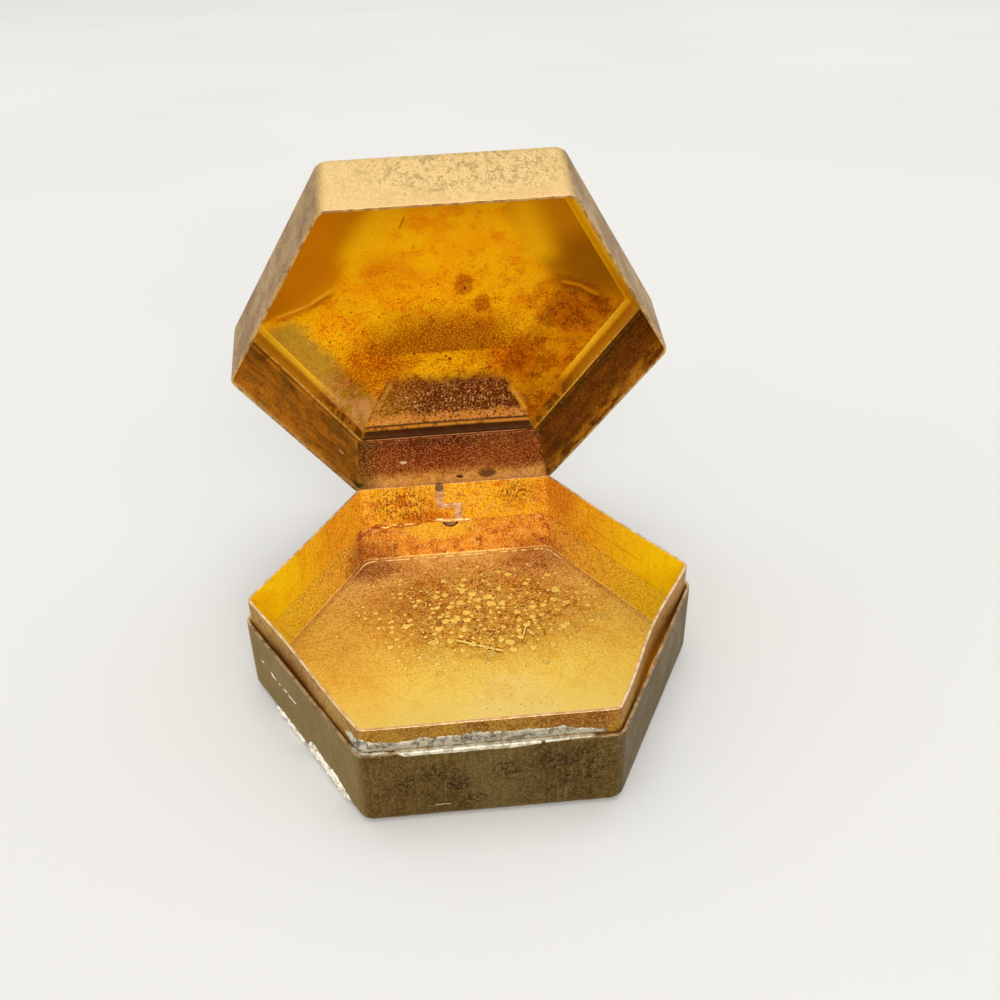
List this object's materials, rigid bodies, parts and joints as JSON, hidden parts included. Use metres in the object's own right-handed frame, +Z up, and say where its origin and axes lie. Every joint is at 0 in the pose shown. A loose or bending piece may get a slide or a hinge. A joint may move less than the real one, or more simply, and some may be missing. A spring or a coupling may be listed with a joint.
{
  "type": "trinket box",
  "caption": "Hexagonal pressed-brass trinket box: shallow pan with a raised inner collar, and a stepped, domed lid on a rear pin hinge, shown open.",
  "frame": {"origin": "middle of the flat underside of the body pan", "axes": "+Z up, +X to the right-hand corner seen from the front, +Y towards the hinge"},
  "size_m": [0.0752, 0.0816, 0.0815],
  "materials": {
    "body_brass": "aged, worn lacquer",
    "collar_brass": "yellow lacquer inside, tarnished outside",
    "lid_brass": "aged, yellow lacquer inside",
    "hinge_brass": "aged",
    "pin_wire": "aged",
    "solder": "dull soft solder"
  },
  "bodies": {
    "body": {"body_shell": "body_brass", "collar": "collar_brass", "collar_seam_solder": "solder", "hinge_body_leaf": "hinge_brass", "hinge_pin": "pin_wire"},
    "lid": {"lid_shell": "lid_brass", "hinge_lid_leaf": "hinge_brass"}
  },
  "joints": [
    {"name": "lid_hinge", "type": "hinge", "parent": "body", "child": "lid", "pos_m": [0, 0.03486, 0.0131], "axis": [-1, 0, 0], "range_deg": [-70.5, 34.5]}
  ]
}
